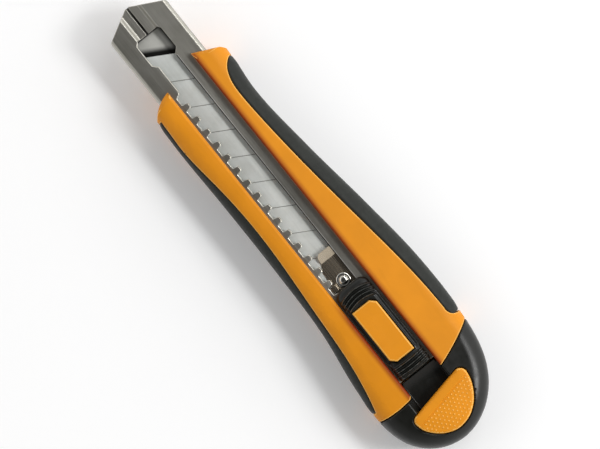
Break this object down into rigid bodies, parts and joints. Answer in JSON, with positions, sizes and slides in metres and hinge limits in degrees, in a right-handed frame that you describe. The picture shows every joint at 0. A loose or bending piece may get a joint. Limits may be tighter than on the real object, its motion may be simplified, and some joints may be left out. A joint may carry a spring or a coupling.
{
  "type": "snap-off utility knife",
  "caption": "Snap-off utility knife: steel blade channel in a rubber-gripped handle, ratchet thumb slider, and a pull-off end cap with a push-button latch.",
  "frame": {"origin": "on the flat face of the resting pad, under the blade channel's centre line and half way along the knife", "axes": "+X along the blade towards the nose, +Y towards the side of the cutting edge, +Z out of the face with the thumb slider"},
  "size_m": [0.1689, 0.0415, 0.0208],
  "materials": {
    "orange_shell": "fine matt moulded ABS",
    "orange_trim": "matt moulded ABS, dotted on the button",
    "grip_rubber": "soft dull elastomer",
    "black_plastic": "satin moulded nylon",
    "inner_plastic": "plain moulded acetal",
    "channel_steel": "dark rolled stainless sheet, bright sheared edges",
    "blade_steel": "ground and lightly oiled",
    "spring_steel": "blued strip and wire",
    "stud_steel": "bright turned rivet",
    "zinc_screw": "zinc plated"
  },
  "bodies": {
    "handle": {"front_shell": "orange_shell", "back_shell": "orange_shell", "upper_grip": "grip_rubber", "lower_grip": "grip_rubber", "rest_pad": "grip_rubber", "shell_screws": "zinc_screw", "blade_channel": "channel_steel", "spare_blades": "blade_steel", "blade_tray": "inner_plastic", "tray_spring": "spring_steel"},
    "slider": {"slider_pad": "black_plastic", "slider_insert": "orange_trim", "blade_carriage": "inner_plastic", "carriage_screws": "zinc_screw", "lock_spring": "spring_steel", "blade_stud": "stud_steel", "blade": "blade_steel"},
    "cap": {"end_cap": "black_plastic", "button_spring": "spring_steel"},
    "button": {"release_button": "orange_trim", "cap_latch": "inner_plastic", "latch_screw": "zinc_screw"}
  },
  "joints": [
    {"name": "blade_slide", "type": "slide", "parent": "handle", "child": "slider", "axis": [1, 0, 0], "range_m": [0, 0.075], "deforming": ["lock_spring"]},
    {"name": "cap_pull", "type": "slide", "parent": "handle", "child": "cap", "axis": [-1, 0, 0], "range_m": [0, 0.022]},
    {"name": "button_press", "type": "slide", "parent": "cap", "child": "button", "axis": [0, 0, -1], "range_m": [0, 0.0012], "stiffness_N_per_m": 800, "springref_m": -0.001, "deforming": ["button_spring"]}
  ]
}
